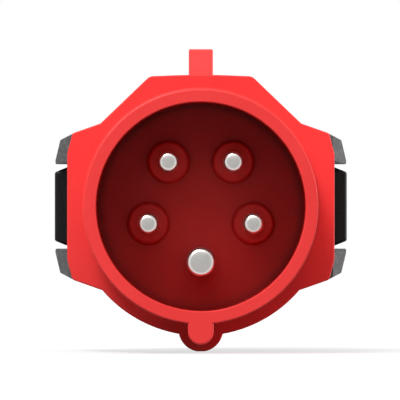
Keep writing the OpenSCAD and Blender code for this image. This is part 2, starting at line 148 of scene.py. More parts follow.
def arc(centre: Point, radius: float, start: float, end: float, steps: int) -> list[Point]:
    """Points on a circular arc.

    Args:
        centre: The arc's centre.
        radius: Its radius.
        start: First angle in degrees.
        end: Last angle in degrees.
        steps: Number of straight steps.

    Returns:
        The points from start to end, both included.
    """
    angles = [math.radians(a) for a in spread(start, end, steps)]
    return [(centre[0] + radius * math.cos(a), centre[1] + radius * math.sin(a)) for a in angles]


def both_sides(quadrant: Sequence[Point], radii: Sequence[float], steps: int) -> list[Point]:
    """Mirrors a run of corners down and across, and rounds the whole outline.

    Args:
        quadrant: Corners of the upper right part, from the top down.
        radii: Their radii.
        steps: Straight steps in each arc.

    Returns:
        The closed outline.
    """
    right = [*quadrant, *[(x, -z) for x, z in reversed(quadrant)]]
    left = [(-x, z) for x, z in reversed(right)]
    return rounded([*right, *left], [*radii, *reversed(radii)] * 2, steps)


def inset(points: Sequence[Point], depth: float) -> list[Point]:
    """Moves every edge of a closed, anticlockwise polygon inwards by depth.

    Args:
        points: The polygon.
        depth: How far inwards.

    Returns:
        As many points as were given.
    """
    edges = [Vector(b) - Vector(a) for a, b in zip(points, [*points[1:], points[0]])]
    normals = [Vector((-d.y, d.x)).normalized() if d.length > 1e-9 else Vector((0, 1)) for d in edges]
    out = []
    for point, a, b in zip(points, [normals[-1], *normals], normals):
        middle = a + b
        out.append(tuple(Vector(point) + middle * depth / max(middle.length_squared / 2, 0.35)))
    return out


def anticlockwise(points: Sequence[Point]) -> list[Point]:
    """The polygon's points in anticlockwise order."""
    area = sum(a[0] * b[1] - b[0] * a[1] for a, b in zip(points, [*points[1:], points[0]]))
    return list(points) if area > 0 else list(reversed(points))


def smooth(t: float) -> float:
    """Eases t from 0 to 1."""
    t = min(1.0, max(0.0, t))
    return t * t * (3 - 2 * t)


# ---------------- closed forms ----------------


def add_object(name: str, data: bpy.types.ID) -> bpy.types.Object:
    """Adds an object to the scene.

    Args:
        name: Its name.
        data: Its mesh, lamp or camera.

    Returns:
        The object.
    """
    made = bpy.data.objects.new(name, data)
    bpy.context.scene.collection.objects.link(made)
    return made


class Form:
    """A closed mesh in millimetres that can be moved, joined and cut."""

    def __init__(self, mesh: bmesh.types.BMesh) -> None:
        """Merges double points and turns the faces outwards.

        Args:
            mesh: The mesh, which is used up.
        """
        bmesh.ops.remove_doubles(mesh, verts=mesh.verts, dist=1e-5)
        bmesh.ops.dissolve_degenerate(mesh, edges=mesh.edges, dist=1e-6)
        bmesh.ops.recalc_face_normals(mesh, faces=mesh.faces)
        self.data = bpy.data.meshes.new("form")
        mesh.to_mesh(self.data)
        mesh.free()

    @classmethod
    def from_loops(cls, loops: Sequence[Sequence[Vector]]) -> "Form":
        """Skins a row of equal point loops and closes both ends.

        Args:
            loops: Closed loops of the same number of points.

        Returns:
            The closed form.
        """
        mesh = bmesh.new()
        rows = [[mesh.verts.new(p) for p in loop] for loop in loops]
        n = len(rows[0])
        for a, b in zip(rows, rows[1:]):
            for i in range(n):
                j = (i + 1) % n
                mesh.faces.new((a[i], a[j], b[j], b[i]))
        mesh.faces.new(reversed(rows[0]))
        mesh.faces.new(rows[-1])
        return cls(mesh)

    @classmethod
    def turned(cls, profile: Sequence[Point], steps: int = 96, ring: bool = False) -> "Form":
        """Turns a profile of (radius, distance along Y) about the Y axis.

        Args:
            profile: The profile from its front to its rear.
            steps: Steps round the axis.
            ring: True joins the profile's ends to each other and not to the axis.

        Returns:
            The turned form.
        """
        if not ring:
            profile = [(0, profile[0][1]), *profile, (0, profile[-1][1])]
        mesh = bmesh.new()
        rows = []
        for k in range(steps):
            a = TAU * k / steps
            rows.append([mesh.verts.new((r * math.cos(a), y, r * math.sin(a))) for r, y in profile])
        n = len(profile)
        for k in range(steps):
            a, b = rows[k], rows[(k + 1) % steps]
            for i in range(n):
                j = (i + 1) % n
                face = [a[i], a[j], *[b[m] for m in (j, i) if profile[m][0] > ON_AXIS]]
                if len(face) > 2:
                    mesh.faces.new(face)
        return cls(mesh)

    @classmethod
    def along_y(
        cls, outline: Sequence[Point], y0: float, y1: float, front: float = 0.4, rear: float = 0.4,
        shift: Callable[[float, float, float], Point] | None = None, stations: Sequence[float] = (),
    ) -> "Form":
        """Extrudes a front view (x, z) from y0 to y1 with rounded end edges.

        Args:
            outline: The closed outline.
            y0: Front end.
            y1: Rear end.
            front: Rounding of the front edge.
            rear: Rounding of the rear edge.
            shift: Moves a point (x, z) at distance y, for tapered bodies.
            stations: Extra cross-sections between the ends, needed with shift.

        Returns:
            The rounded prism.
        """
        outline = anticlockwise(outline)
        edge = quarter(4)
        cuts = [(y0 + front * u, front * v) for u, v in edge] if front else [(y0, 0.0)]
        cuts += [(y, 0.0) for y in stations]
        cuts += [(y1 - rear * u, rear * v) for u, v in reversed(edge)] if rear else [(y1, 0.0)]
        loops = []
        for y, depth in cuts:
            loop = inset(outline, depth) if depth > 0 else outline
            if shift is not None:
                loop = [shift(x, z, y) for x, z in loop]
            loops.append([Vector((x, y, z)) for x, z in loop])
        return cls.from_loops(loops)

    @classmethod
    def block(cls, low: Sequence[float], high: Sequence[float], edge: float = 0.0) -> "Form":
        """A box between two corners, its upright and end edges rounded by edge."""
        outline = [(low[0], low[2]), (high[0], low[2]), (high[0], high[2]), (low[0], high[2])]
        return cls.along_y(rounded(outline, edge, 3) if edge else outline, low[1], high[1], edge, edge)

    def moved(self, matrix: Matrix) -> "Form":
        """Moves this form and keeps its faces outwards.

        Args:
            matrix: The motion.

        Returns:
            This form.
        """
        self.data.transform(matrix)
        if matrix.determinant() < 0:
            self.data.flip_normals()
        return self

    def shifted(self, by: Sequence[float]) -> "Form":
        """This form, shifted."""
        return self.moved(Matrix.Translation(by))

    def spun(self, angle: float, axis: str) -> "Form":
        """This form, turned by an angle in degrees about X, Y or Z."""
        return self.moved(Matrix.Rotation(math.radians(angle), 4, axis))

    def mirrored(self, side: Side) -> "Form":
        """This form, or its mirror image for the left side."""
        return self.moved(Matrix.Diagonal((side.value, 1, 1, 1)))

    def combine(self, how: Cut, others: Iterable["Form"]) -> "Form":
        """Joins or cuts this form with others, exactly, one after the other.

        Args:
            how: The kind of combination.
            others: The other forms, which are used up.

        Returns:
            This form.
        """
        base = add_object("base", self.data)
        tools = []
        for other in others:
            tool = add_object("tool", other.data)
            tools.append(tool)
            step = base.modifiers.new("step", "BOOLEAN")
            step.operation, step.solver, step.object = how.value, "MANIFOLD", tool
        bpy.context.view_layer.update()
        ready = base.evaluated_get(bpy.context.evaluated_depsgraph_get())
        result = bpy.data.meshes.new_from_object(ready)
        for used in (*tools, base):
            mesh = used.data
            bpy.data.objects.remove(used)
            bpy.data.meshes.remove(mesh)
        self.data = result
        return self

    def join(self, *others: "Form") -> "Form":
        """This form with others added."""
        return self.combine(Cut.JOIN, others)

    def cut(self, *others: "Form") -> "Form":
        """This form with others taken away."""
        return self.combine(Cut.TAKE_AWAY, others)

    def place(
        self, name: str, body: str, slot: str, finish: "Finish", nodes: Sequence[str],
        at: Vector = Vector((0, 0, 0)),
    ) -> bpy.types.Object:
        """Makes the finished piece and fits it to the frame.

        Args:
            name: Name of the piece.
            body: CAD body that it rides on.
            slot: Material slot of the record; not used.
            finish: Its finish.
            nodes: CAD nodes that it stands for.
            at: Place of the piece's own origin, in millimetres.

        Returns:
            The piece.
        """
        tidy = bmesh.new()
        tidy.from_mesh(self.data)
        bmesh.ops.remove_doubles(tidy, verts=tidy.verts, dist=2e-4)
        bmesh.ops.dissolve_degenerate(tidy, edges=tidy.edges, dist=1e-4)
        tidy.transform(Matrix.Translation(-at))
        tidy.transform(Matrix.Scale(MM, 4))
        tidy.to_mesh(self.data)
        tidy.free()
        self.data.materials.clear()
        self.data.shade_smooth()
        self.data.set_sharp_from_angle(angle=CREASE)
        piece = add_object(name, self.data)
        piece.location = at * MM
        even = piece.modifiers.new("even_normals", "WEIGHTED_NORMAL")
        even.keep_sharp = True
        even.weight = 60
        finish.put_on(piece)
        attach(piece, body)
        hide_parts(*nodes)
        LOG.info("%s: %d faces on %s", name, len(self.data.polygons), body)
        return piece


# ---------------- finishes ----------------


class Layout:
    """Lays out the nodes of one node tree."""

    def __init__(self, tree: bpy.types.NodeTree) -> None:
        """Starts with an empty tree."""
        self.tree = tree
        tree.nodes.clear()

    def feed(self, socket: Socket, value: object) -> None:
        """Links an input to its source, or sets its value.

        Args:
            socket: The input.
            value: Another node's output, a number, a vector or a colour.
        """
        if isinstance(value, Socket):
            self.tree.links.new(value, socket)
        else:
            socket.default_value = (*value, 1.0) if socket.type == "RGBA" else value

    def node(self, kind: str, *fed: object, **values: object) -> bpy.types.Node:
        """Adds a node.

        Args:
            kind: Node type without its ShaderNode prefix.
            fed: What its first inputs get, in their order.
            values: Attributes, or inputs by name; spaces in a name become underscores.

        Returns:
            The node.
        """
        made = self.tree.nodes.new("ShaderNode" + kind)
        for key, value in values.items():
            label = key.replace("_", " ")
            if label in made.inputs:
                self.feed(made.inputs[label], value)
            else:
                setattr(made, key, value)
        for socket, value in zip(made.inputs, fed):
            self.feed(socket, value)
        return made

    def ramp(self, source: Socket, low: float, high: float) -> Socket:
        """Stretches source so that low becomes 0 and high becomes 1."""
        return self.node("MapRange", Value=source, From_Min=low, From_Max=high).outputs["Result"]

    def span(self, source: Socket, low: float, high: float) -> Socket:
        """Maps a source of 0 to 1 to the span from low to high."""
        return self.node("MapRange", Value=source, To_Min=low, To_Max=high).outputs["Result"]

    def times(self, a: Socket, b: float | Socket) -> Socket:
        """Product of a and b."""
        return self.node("Math", a, b, operation="MULTIPLY").outputs[0]

    def seen(self) -> Socket:
        """Tells rays that see the background: from the camera, in gloss or through glass.

        Returns:
            1 for such rays and 0 for others.
        """
        path = self.node("LightPath").outputs
        total = path["Is Camera Ray"]
        for name in ("Is Glossy Ray", "Is Transmission Ray"):
            total = self.node("Math", total, path[name], operation="MAXIMUM").outputs[0]
        return total


class Shader(Layout):
    """The nodes of one material, with the patterns that the finishes share."""

    def __init__(self, name: str) -> None:
        """Starts a material.

        Args:
            name: The material's name.
        """
        self.material = bpy.data.materials.new(name)
        self.material.use_nodes = True
        super().__init__(self.material.node_tree)
        self.out = self.node("OutputMaterial")
        corner = self.node("TexCoord")
        self.place = corner.outputs["Object"]
        self.facing = corner.outputs["Normal"]

    def noise(self, scale: float, detail: float = 3.0, rough: float = 0.55) -> Socket:
        """Noise in the piece's own space; scale is in cells per metre."""
        made = self.node("TexNoise", Vector=self.place, Scale=scale, Detail=detail, Roughness=rough)
        return made.outputs["Fac"]

    def mix(self, share: Socket, a: Colour | Socket, b: Colour | Socket) -> Socket:
        """Mixes two colours.

        Args:
            share: 0 for the first colour and 1 for the second.
            a: First colour.
            b: Second colour.

        Returns:
            The mixed colour.
        """
        made = self.node("Mix", share, data_type="RGBA")
        self.feed(made.inputs[6], a)
        self.feed(made.inputs[7], b)
        return made.outputs[2]

    def worn_and_sheen_edges(self) -> Socket:
        """Finds the rounded edges, broken up by noise, for rubbed wear and, on the button, a painted
        highlight.

        Returns:
            1 along the edges and 0 elsewhere.
        """
        soft = self.node("Bevel", Radius=EDGE_WEAR_AND_SHEEN, samples=4).outputs["Normal"]
        plain = self.node("NewGeometry").outputs["Normal"]
        near = self.node("VectorMath", soft, plain, operation="DOT_PRODUCT")
        edge = self.ramp(near.outputs["Value"], 0.985, 0.88)
        return self.times(edge, self.ramp(self.noise(420.0), 0.42, 0.60))

    def bump(self, height: Socket, depth: float, strength: float, **under: Socket) -> Socket:
        """Turns a height into a normal; depth is in metres, and Normal= adds it to another bump."""
        made = self.node("Bump", Height=height, Distance=depth, Strength=strength, **under)
        return made.outputs["Normal"]

    def surface(self, **values: object) -> None:
        """Ends the material in a principled shader with these inputs."""
        self.end(self.node("BsdfPrincipled", **values))

    def end(self, shader: bpy.types.Node) -> None:
        """Ends the material in a shader node."""
        self.feed(self.out.inputs["Surface"], shader.outputs[0])


@dataclass(frozen=True)
class Finish:
    """A surface finish that dresses pieces with one shared material."""

    name: str
    colour: Colour

    def lay_out(self, s: Shader) -> None:
        """Lays out the material's nodes in s."""
        raise NotImplementedError

    def put_on(self, piece: bpy.types.Object) -> None:
        """Gives a piece this finish in every material slot.

        Args:
            piece: The piece.
        """
        label = "dressed_" + self.name
        if label not in bpy.data.materials:
            self.lay_out(Shader(label))
        material = bpy.data.materials[label]
        if not piece.material_slots:
            piece.data.materials.append(material)
        for holder in piece.material_slots:
            holder.material = material


@dataclass(frozen=True)
class MouldedPlastic(Finish):
    """Moulded plastic: soft mottling, a fine grain, rubbed edges that on the button also paint a highlight,
    and, in the cavity, painted shade.
    """

    deep: Colour
    # Colour of speckle and rubbed edges; on the button it is a painted highlight.
    rubbed_and_sheen: Colour
    roughness: float = 0.38
    grain: float = 2600.0
    depth: float = 4e-6
    speckle: float = 0.0
    specular: float = 0.5
    wear_and_sheen: float = 0.35
    # Painted shade on the cavity floor: its strength, the centre it darkens away from, its reach and the
    # depth where it starts.
    cavity_shade: float = 0.0
    shade_centre_z: float = -0.010
    shade_reach: tuple[float, float] = (0.002, 0.034)
    shade_floor: tuple[float, float] = (0.0408, 0.0420)

    def lay_out(self, s: Shader) -> None:
        """Lays out the material's nodes.

        Args:
            s: The material's layout.
        """
        body = s.mix(s.ramp(s.noise(55.0, 4.0), 0.35, 0.68), self.colour, self.deep)
        if self.speckle > 0:
            spots = s.ramp(s.noise(self.grain * 0.55, 2.0, 0.7), 0.44, 0.66)
            body = s.mix(s.times(spots, self.speckle), body, self.rubbed_and_sheen)
        # Rubbed edges: real wear, and on the button also a painted highlight where its bevels would catch
        # the light.
        body = s.mix(s.times(s.worn_and_sheen_edges(), self.wear_and_sheen), body, self.rubbed_and_sheen)
        # Painted shade on the contact carrier's cavity floor.
        if self.cavity_shade > 0:
            body = self.paint_cavity_shade(s, body)
        waves = s.bump(s.noise(170.0, 2.0), self.depth * 5, 0.25)
        s.surface(
            Base_Color=body,
            IOR=1.5,
            Specular_IOR_Level=self.specular,
            Roughness=s.span(s.noise(90.0, 5.0, 0.6), self.roughness - 0.08, self.roughness + 0.10),
            Normal=s.bump(s.noise(self.grain, 2.5, 0.6), self.depth, 0.8, Normal=waves),
        )

    def paint_cavity_shade(self, s: Shader, body: Socket) -> Socket:
        """Paints shade on the cavity floor: darker towards the wall, most near its top, and round each
        collar's foot.

        Args:
            s: The material's layout.
            body: Colour of the plastic before its painted shade.

        Returns:
            The colour with its painted shade.
        """
        # Painted shade: the floor darkens towards the wall, most near its top, where the sleeve would shade
        # it.
        flat = s.node("Mapping", s.place, (0.0, 0.0, -self.shade_centre_z), Scale=(1.0, 0.0, 1.0))
        away = s.node("VectorMath", flat.outputs[0], operation="LENGTH").outputs["Value"]
        edge = s.ramp(away, *self.shade_reach)
        depth = s.ramp(s.node("SeparateXYZ", s.place).outputs["Y"], *self.shade_floor)
        shade_colour = tuple(c * 0.12 for c in self.deep)
        body = s.mix(s.times(s.times(edge, depth), self.cavity_shade), body, shade_colour)
        # Painted shade: ambient occlusion darkens the floor round each collar's foot.
        corner = s.node("AmbientOcclusion", samples=8, Distance=0.0028)
        corner_shade = s.ramp(corner.outputs["AO"], 0.97, 0.55)
        return s.mix(s.times(s.times(corner_shade, edge), depth), body, shade_colour)


@dataclass(frozen=True)
class TurnedMetal(Finish):
    """Turned and plated metal: tool rings, faint tarnish, small scratches and painted shade that darkens the
    faces seen end-on along Y.
    """

    tarnish: Colour
    end_face_shade: float = 1.0
    roughness: float = 0.28
    ring_pitch: float = 0.00022
    ring_depth: float = 1.6e-6

    def lay_out(self, s: Shader) -> None:
        """Lays out the material's nodes.

        Args:
            s: The material's layout.
        """
        rings = s.node("TexWave", s.place, 0.0314 / self.ring_pitch, 0.4, wave_type="RINGS",
                       rings_direction="Y").outputs["Fac"]
        stretched = s.node("Mapping", Vector=s.place, Scale=(900.0, 60.0, 900.0))
        scratches = s.node("TexNoise", Vector=stretched.outputs[0], Scale=1.0, Detail=3.0).outputs["Fac"]
        stain = s.ramp(s.noise(240.0, 5.0, 0.65), 0.46, 0.74)
        body = s.mix(stain, self.colour, self.tarnish)
        # Painted shade: faces that look along Y, such as a pin's flat tip, get a darker copy of the metal
        # colour.
        if self.end_face_shade < 1.0:
            along = s.node("SeparateXYZ", s.facing).outputs["Y"]
            faces_end_on = s.ramp(s.node("Math", along, operation="ABSOLUTE").outputs[0], 0.975, 0.995)
            shaded_end = tuple(c * self.end_face_shade for c in self.colour)
            body = s.mix(faces_end_on, body, s.mix(stain, shaded_end, tuple(c * 0.93 for c in shaded_end)))
        marks = s.times(rings, 0.6), s.times(scratches, 0.4)
        s.surface(
            Base_Color=body,
            Metallic=1.0,
            Roughness=s.span(scratches, self.roughness - 0.08, self.roughness + 0.12),
            Normal=s.bump(s.node("Math", *marks, operation="ADD").outputs[0], self.ring_depth, 0.7),
        )


@dataclass(frozen=True)
class Rubber(Finish):
    """Matte rubber with a dusty bloom and a fine skin."""

    bloom: Colour

    def lay_out(self, s: Shader) -> None:
        """Lays out the material's nodes.

        Args:
            s: The material's layout.
        """
        dust = s.ramp(s.noise(130.0, 6.0, 0.7), 0.45, 0.78)
        s.surface(
            Base_Color=s.mix(dust, self.colour, self.bloom),
            Specular_IOR_Level=0.35,
            Roughness=s.span(dust, 0.62, 0.85),
            Normal=s.bump(s.noise(3200.0, 3.0), 8e-6, 0.8),
        )


SIGNAL_RED = MouldedPlastic(
    "signal_red", (0.820, 0.048, 0.046), (0.785, 0.042, 0.041), (0.88, 0.08, 0.07),
    roughness=0.46, grain=2400.0, depth=3e-6, specular=0.12,
)
# Contact floor red: a darker copy of the housing red as painted shade deep in the sleeve, with the cavity's
# painted shade on top.
SHADED_CONTACT_RED = MouldedPlastic(
    "shaded_contact_red", (0.640, 0.038, 0.035), (0.59, 0.034, 0.031), (0.70, 0.06, 0.055),
    roughness=0.48, grain=2100.0, depth=3e-6, specular=0.14, cavity_shade=0.56,
)
GRIP_GREY = MouldedPlastic(
    "grip_grey", (0.088, 0.093, 0.093), (0.075, 0.079, 0.079), (0.17, 0.17, 0.17),
    roughness=0.62, grain=1700.0, depth=2.2e-5, speckle=0.55, specular=0.3,
)
# Black button: its pale grey rubbed colour at a high share paints a highlight along the rounded edges.
BUTTON_BLACK = MouldedPlastic(
    "button_black", (0.0045, 0.0047, 0.005), (0.0035, 0.0036, 0.0038), (0.19, 0.19, 0.19),
    roughness=0.36, grain=2500.0, depth=4e-6, specular=0.16, wear_and_sheen=0.8,
)
FRAME_BLACK = MouldedPlastic(
    "frame_black", (0.020, 0.020, 0.021), (0.014, 0.014, 0.015), (0.07, 0.07, 0.07),
    roughness=0.55, grain=2200.0, depth=1e-5,
)
# Nickel pins: their flat tips and other end faces get painted shade.
NICKEL = TurnedMetal("plated_nickel", (0.65, 0.63, 0.605), (0.59, 0.565, 0.53), end_face_shade=0.62)
STEEL = TurnedMetal("bright_steel", (0.56, 0.56, 0.57), (0.42, 0.42, 0.42), roughness=0.34)
SEAL_RUBBER = Rubber("seal_rubber", (0.012, 0.012, 0.013), (0.045, 0.045, 0.046))


# ---------------- sub-assemblies ----------------


@dataclass
class FrontHousing:
    """Red front housing: sleeve, key, flange with cheeks, nub, lug and inner skirt."""

    sleeve_r: float = 28.5
    bore_r: float = 25.5
    rim_round: float = 0.32
    mouth_round: float = 0.22
    sleeve_foot: float = 0.9
    flange_y: float = 45.0
    back_y: float = 68.0
    front_edge: float = 0.35
    back_edge: float = 0.5
    flange_r: float = 31.76
    top_z: float = 32.04
    crown_z: float = 31.99
    crown: float = 0.36
    facet_angle: float = 46.2
    facet_r: float = 31.81
    corner_r: float = 2.4
    cheek_x: float = 32.84
    key_w: float = 6.2
    key_bottom: float = -33.55
    nub_r: float = 5.5
    nub_z: float = -30.16
    nub_end: float = 51.0
    nub_foot: float = 0.08
    lug_w: float = 5.94
    lug_top: float = 38.74
    seat_y: float = 47.0
    seat_r: float = 26.6
    bead_y: float = 64.0
    bead_h: float = 0.6
    skirt_r: float = 28.1
    skirt_end: float = 85.0
    skirt_edge: float = 0.5
    seal_r: float = 27.3
    seal_y: tuple[float, float] = (69.4, 72.0)
    gap_y: float = 73.4
    gap_h: float = 12.5
    vent_angles: tuple[float, ...] = (-140, -115, -65, -40)

    def flange_outline(self) -> list[Point]:
        """Flange seen from the front: round below, two facets and a crowned flat above.

        Returns:
            The closed outline.
        """
        c, a = self.corner_r, math.radians(self.facet_angle)
        cz = self.top_z - c
        cx = (self.facet_r - c - cz * math.sin(a)) / math.cos(a)
        end_x = self.flange_r - 4
        end_z = (self.facet_r - end_x * math.cos(a)) / math.sin(a)
        return [
            (end_x, end_z),
            *arc((cx, cz), c, self.facet_angle, 85, 8),
            *[(x, self.crown_z + self.crown * (1 - (x / cx) ** 2)) for x in spread(cx, -cx, 12)[1:-1]],
            *arc((-cx, cz), c, 95, 180 - self.facet_angle, 8),
            (-end_x, end_z),
            *arc((0, 0), self.flange_r, 150, 390, 120),
        ]

    def nub(self) -> Form:
        """Nub under the flange, with a narrow foot to stand on.

        Returns:
            The nub.
        """
        foot = math.degrees(math.acos(1 - self.nub_foot / self.nub_r))
        outline = arc((0, self.nub_z), self.nub_r, foot - 90, 270 - foot, 80)
        return Form.along_y(outline, self.flange_y, self.nub_end, self.front_edge, 0.4)

    def key(self) -> Form:
        """Polarising key under the sleeve, flush with the rim.

        Returns:
            The key.
        """
        h, top = self.key_w / 2, -self.bore_r - 1
        outline = [(h, top), *arc((0, self.key_bottom + h), h, 0, -180, 20), (-h, top)]
        return Form.along_y(outline, 0.0, self.flange_y + 1, 0.45, 0.0)

    def lug(self) -> Form:
        """Retaining lug with its lead-in ramp, flat top and steep catch.

        Returns:
            The lug.
        """
        y, z, top = self.flange_y, self.top_z, self.lug_top
        side = [
            (y + 0.3, z - 3), (y + 17, z - 3), (y + 17, z - 0.2), (y + 14.4, z + 0.8), (y + 15, top - 1),
            (y + 14, top), (y + 9, top), (y + 8, top - 0.3), (y + 0.3, z - 0.1),
        ]
        side = rounded(side, [0, 0, 0.4, 0.5, 0.4, 0.4, 1.5, 1.5, 0.2], 4)
        return Form.along_y(side, -self.lug_w / 2, self.lug_w / 2, 0.3, 0.3).moved(SWAP_XY)

    def bore(self) -> Form:
        """Contact cavity and the seats behind it, with a flared mouth.

        Returns:
            The cutter.
        """
        e, r, y, h = self.mouth_round, self.seat_r, self.bead_y, self.bead_h
        mouth = [(self.bore_r + e * v, e * u) for u, v in quarter(6)]
        return Form.turned(
            [(mouth[0][0], -2), *mouth, (self.bore_r, self.seat_y), (r, self.seat_y), (r, y - 2 * h),
             (r + h, y - h), (r + h, y + h), (r, y + 2 * h), (r, self.skirt_end + 2)], 128)

    def build(self) -> None:
        """Builds and places the housing."""
        r, e, f, foot = self.sleeve_r, self.rim_round, self.flange_y, self.sleeve_foot
        rim = [(r - e * v, e * u) for u, v in quarter(6)]
        fillet = [(r + foot * u, f - foot * v) for u, v in quarter(6)]
        sleeve = Form.turned([*rim, *fillet, (r + foot, f + 2)], 128)
        x = self.cheek_x
        cheeks = both_sides([(24.41, 20.5), (x - 1.33, 18.0), (x, 13.0)], [0, 1.0, 7.0], 6)
        plates = [
            Form.along_y(outline, f, self.back_y, self.front_edge, self.back_edge)
            for outline in (self.flange_outline(), cheeks)
        ]
        start, end, skirt_r, edge = self.back_y - 2, self.skirt_end, self.skirt_r, self.skirt_edge
        skirt = Form.turned([(skirt_r, start), (skirt_r, end - edge), (skirt_r - edge, end)])
        y0, y1 = self.seal_y
        groove = Form.turned([(self.seal_r, y0), (29, y0), (29, y1), (self.seal_r, y1)], ring=True)
        gap = Form.block((-34, self.gap_y, -self.gap_h), (34, 90, self.gap_h))
        vents = [
            Form.block((self.flange_r - 0.6, f + 9, -1), (self.flange_r + 2, f + 20, 1)).spun(-angle, "Y")
            for angle in self.vent_angles
        ]
        body = sleeve.join(*plates, self.nub(), self.lug(), self.key(), skirt)
        body.cut(self.bore(), groove, gap, *vents)
        body.place("front_housing_shell", "plug", "housing_red", SIGNAL_RED, ["front_housing"])


@dataclass(frozen=True)
class Pole:
    """One contact: its place on the pin circle, its pin and its terminal barrel."""

    name: str
    angle: float
    pin_r: float = 2.5
    barrel_r: float = 4.0
    tip_y: float = 7.0
    base_y: float = 40.5


POLES = (
    Pole("line_1", 342.0),
    Pole("line_2", 54.0),
    Pole("line_3", 126.0),
    Pole("neutral", 198.0),
    Pole("earth", 270.0, pin_r=3.5, barrel_r=4.8, tip_y=3.5, base_y=42.0),
)


@dataclass
class ContactSet:
    """Contact carrier with its five pins."""

    ring_r: float = 13.5
    floor_y: float = 42.0
    floor_r: float = 25.45
    carrier_r: float = 26.4
    carrier_seat: float = 47.0
    carrier_end: float = 62.0
    shoulder_y: float = 50.0
    barrel_end: float = 74.0
    collar_r: float = 4.85
    collar_round: float = 0.6
    collar_foot: float = 5.8
    collar_cove: float = 0.7
    step: float = 0.3
    lip: float = 0.8
    drill_r: float = 2.0

    def spot(self, pole: Pole) -> Vector:
        """Place of a pole's axis, in millimetres."""
        a = math.radians(pole.angle)
        return Vector((self.ring_r * math.cos(a), 0, self.ring_r * math.sin(a)))

    def collar(self, pole: Pole) -> Form:
        """Moulded collar round a pin: round shoulder, hollow foot.

        Args:
            pole: The pin's pole.

        Returns:
            The collar in its place.
        """
        top, f, edge, cove = pole.base_y, self.floor_y, self.collar_round, self.collar_cove
        slope = [(self.collar_r - edge * v, top + edge * u) for u, v in quarter(8)[:-1]]
        slope += [(self.collar_foot - cove * (1 - u), f - 0.6 + cove * (1 - v)) for u, v in quarter(8)[1:]]
        slope.append((self.collar_foot - 0.05, f + 1))
        return Form.turned(slope, 64).shifted(self.spot(pole))

    def hole(self, pole: Pole) -> Form:
        """Stepped hole for a pin and its barrel.

        Args:
            pole: The pin's pole.

        Returns:
            The cutter in its place.
        """
        front, lip = pole.base_y - 1, pole.base_y + self.lip
        back, end = self.shoulder_y, self.carrier_end + 1
        pin, shank, barrel = pole.pin_r + 0.02, pole.pin_r + self.step + 0.05, pole.barrel_r + 0.3
        profile = [(pin, front), (pin, lip), (shank, lip), (shank, back), (barrel, back), (barrel, end)]
        return Form.turned(profile, 48).shifted(self.spot(pole))

    def carrier(self) -> None:
        """Builds the contact carrier."""
        f, r, big = self.floor_y, self.floor_r, self.carrier_r
        seat, end = self.carrier_seat, self.carrier_end
        disc = Form.turned(
            [(r - 0.45, f), (r - 0.1, f - 0.35), (r, f - 0.5), (r, seat), (big, seat), (big, end)], 128)
        disc.join(*[self.collar(pole) for pole in POLES if pole.base_y < f])
        middle = Form.turned([(6, self.shoulder_y), (6, end + 1)], 48)
        disc.cut(middle, *[self.hole(pole) for pole in POLES])
        disc.place("contact_floor", "plug", "carrier_red", SHADED_CONTACT_RED, ["contact_carrier"])

    def pin(self, pole: Pole) -> None:
        """Builds one pin with its rounded tip and drilled barrel.

        Args:
            pole: The pin's pole.
        """
        r, big, tip = pole.pin_r, pole.barrel_r, pole.tip_y
        flat, shank = r - 0.85, r + self.step
        nose = [
            (flat - 0.08, tip), (flat, tip + 0.02), (flat + 0.24, tip + 0.12), (flat + 0.45, tip + 0.26),
            (flat + 0.62, tip + 0.50), (flat + 0.78, tip + 0.95), (r, tip + 1.7),
        ]
        seat, shoulder, end = pole.base_y + self.lip + 0.1, self.shoulder_y, self.barrel_end
        drill, bottom = self.drill_r, self.carrier_end - 1
        body = Form.turned(
            [*nose, (r, seat), (shank, seat), (shank, shoulder), (big, shoulder), (big, end - 0.4),
             (big - 0.4, end), (drill, end), (drill, bottom)], 64)
        screw_hole = Form.turned([(1.5, 1), (1.5, big + 1)], 24)
        screw_hole.spun(-90, "Z").spun(-pole.angle, "Y").shifted((0, end - 5, 0))
        place, name = self.spot(pole), f"pin_{pole.name}"
        body.cut(screw_hole).shifted(place).place(
            "contact_" + name, "plug", "pin_nickel", NICKEL, [name], at=place)

    def build(self) -> None:
        """Builds the carrier and all pins."""
        self.carrier()
        for pole in POLES:
            self.pin(pole)


